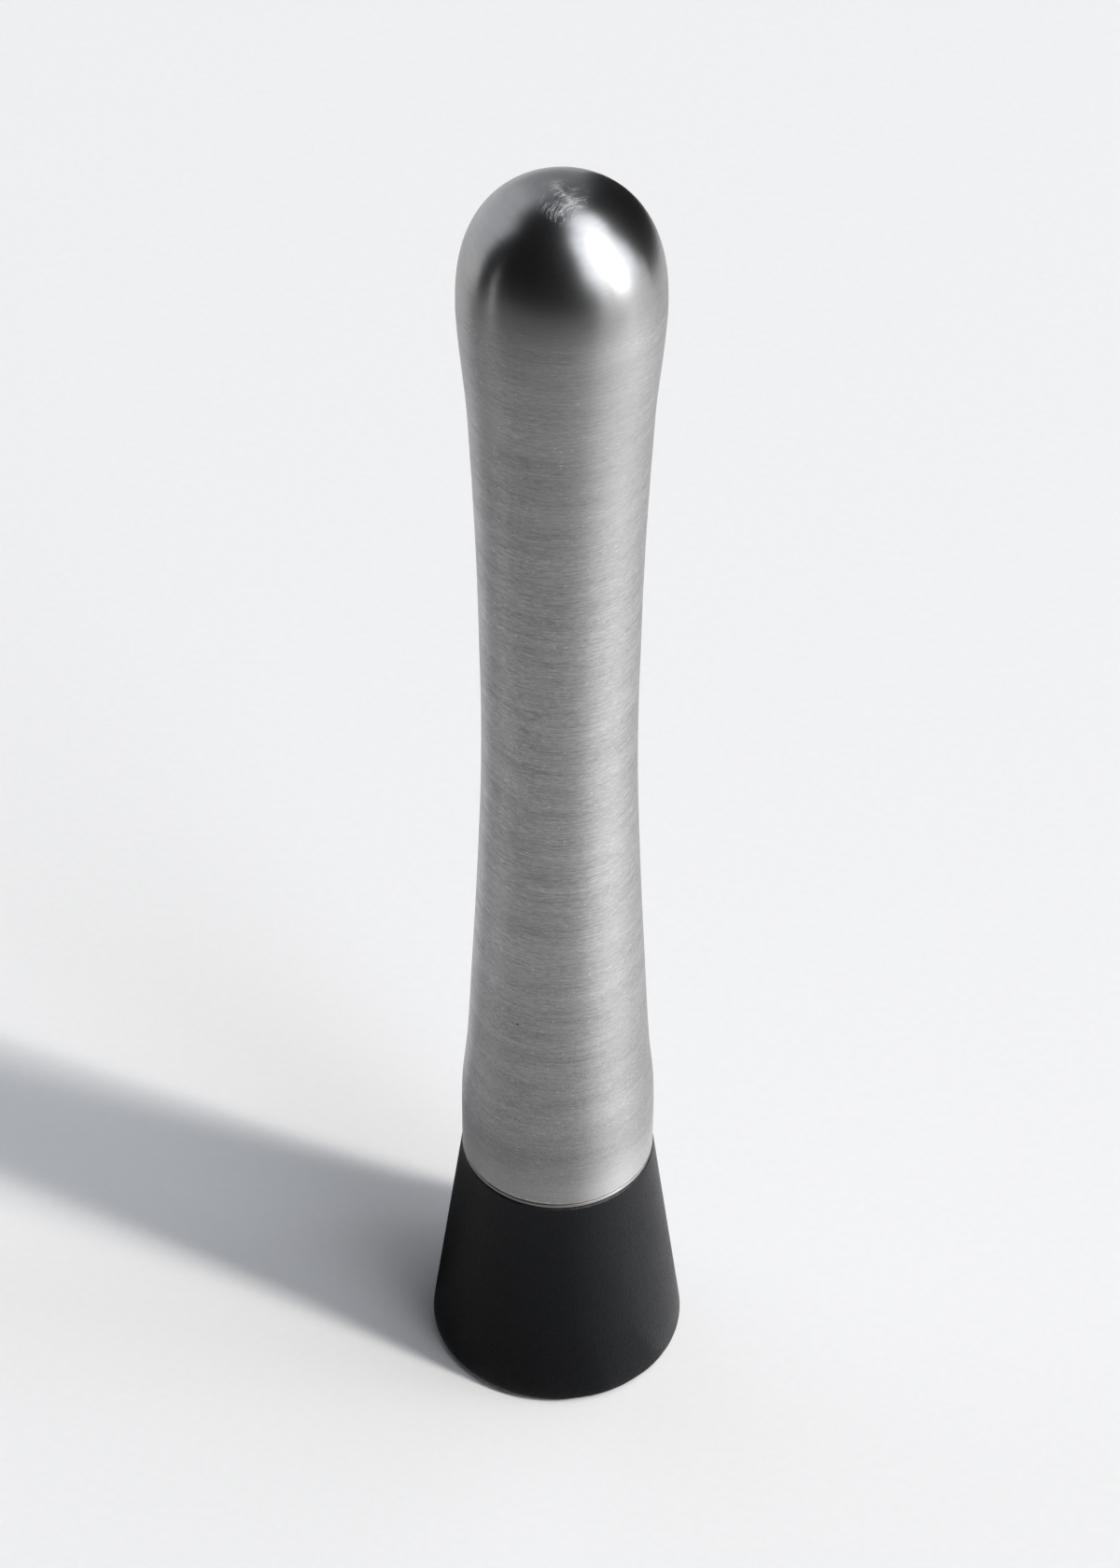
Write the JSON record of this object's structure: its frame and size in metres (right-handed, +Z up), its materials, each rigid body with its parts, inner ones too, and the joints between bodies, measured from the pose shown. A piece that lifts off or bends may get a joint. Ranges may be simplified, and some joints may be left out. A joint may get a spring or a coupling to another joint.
{
  "type": "cocktail muddler",
  "caption": "Upright bar muddler: hollow waisted brushed steel handle with a domed bulb, screwed by a stud into a black tapered head with a toothed working face.",
  "frame": {"origin": "centre of the head's working face, on the plane of the tooth tips that it stands on", "axes": "+Z up along the handle's axis to the dome; the picture looks along +Y from above, with +X to its right"},
  "size_m": [0.04, 0.04, 0.2255],
  "materials": {
    "black_nylon": "matte moulded black",
    "insert_brass": "turned and knurled",
    "washer_rubber": "smooth dull black",
    "stud_steel": "rolled thread, plain stainless",
    "plug_steel": "turned stainless",
    "handle_steel": "brushed round the axis, ground patch at the apex"
  },
  "bodies": {
    "head": {"muddling_head": "black_nylon", "thread_insert": "insert_brass"},
    "washer": {"seal_washer": "washer_rubber"},
    "handle": {"handle_shell": "handle_steel", "end_plug": "plug_steel", "threaded_stud": "stud_steel"}
  },
  "joints": [
    {"name": "handle_lift", "type": "slide", "parent": "head", "child": "washer", "axis": [0, 0, 1], "range_m": [0, 0.015]},
    {"name": "handle_unscrew", "type": "hinge", "parent": "washer", "child": "handle", "pos_m": [0, 0, 0.041], "axis": [0, 0, 1], "range_deg": [0, 4320]}
  ],
  "couplings": [
    {"joint": "handle_unscrew", "follows": "handle_lift", "rad_per_m": 5026.5}
  ]
}
